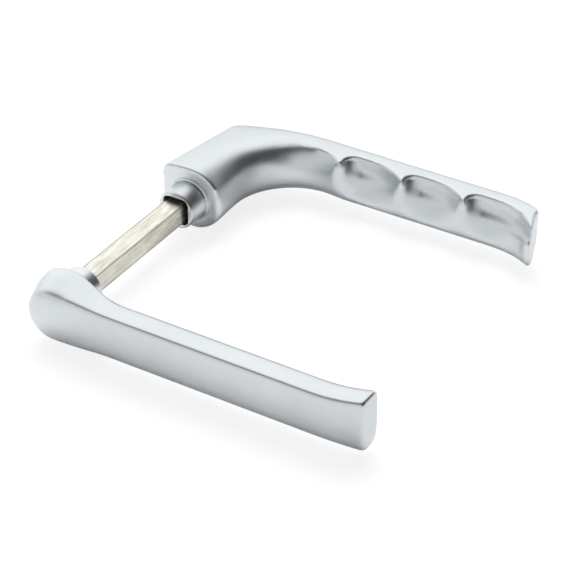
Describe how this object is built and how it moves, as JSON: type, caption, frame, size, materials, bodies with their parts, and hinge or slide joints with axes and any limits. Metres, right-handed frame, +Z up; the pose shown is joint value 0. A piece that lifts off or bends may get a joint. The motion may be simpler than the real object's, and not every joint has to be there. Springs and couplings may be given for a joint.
{
  "type": "door handle set",
  "caption": "Pair of satin cast door levers on a square spindle: an offset grip with finger scoops inside, a flat low grip outside.",
  "frame": {"origin": "on the spindle's axis, midway between the two spigot ends, where the middle of the door lies", "axes": "+X along both levers to their tips, +Y along the spindle from the outside lever to the inside lever, +Z up, towards the levers' top strips"},
  "size_m": [0.1448, 0.1505, 0.0276],
  "materials": {
    "satin_aluminium": "satin anodised",
    "yellow_zinc": "yellow passivated zinc on drawn steel",
    "steel": "plain steel"
  },
  "bodies": {
    "outside": {"outside_lever": "satin_aluminium", "spindle": "yellow_zinc", "spindle_pin": "steel"},
    "inside": {"inside_lever": "satin_aluminium"},
    "screw": {"set_screw": "steel"}
  },
  "joints": [
    {"name": "inside_slide", "type": "slide", "parent": "outside", "child": "inside", "axis": [0, 1, 0], "range_m": [-0.008, 0.008]},
    {"name": "screw_turn", "type": "hinge", "parent": "inside", "child": "screw", "pos_m": [0, 0.054, -0.008], "axis": [0, 0, -1], "range_deg": [-1080, 0]}
  ]
}
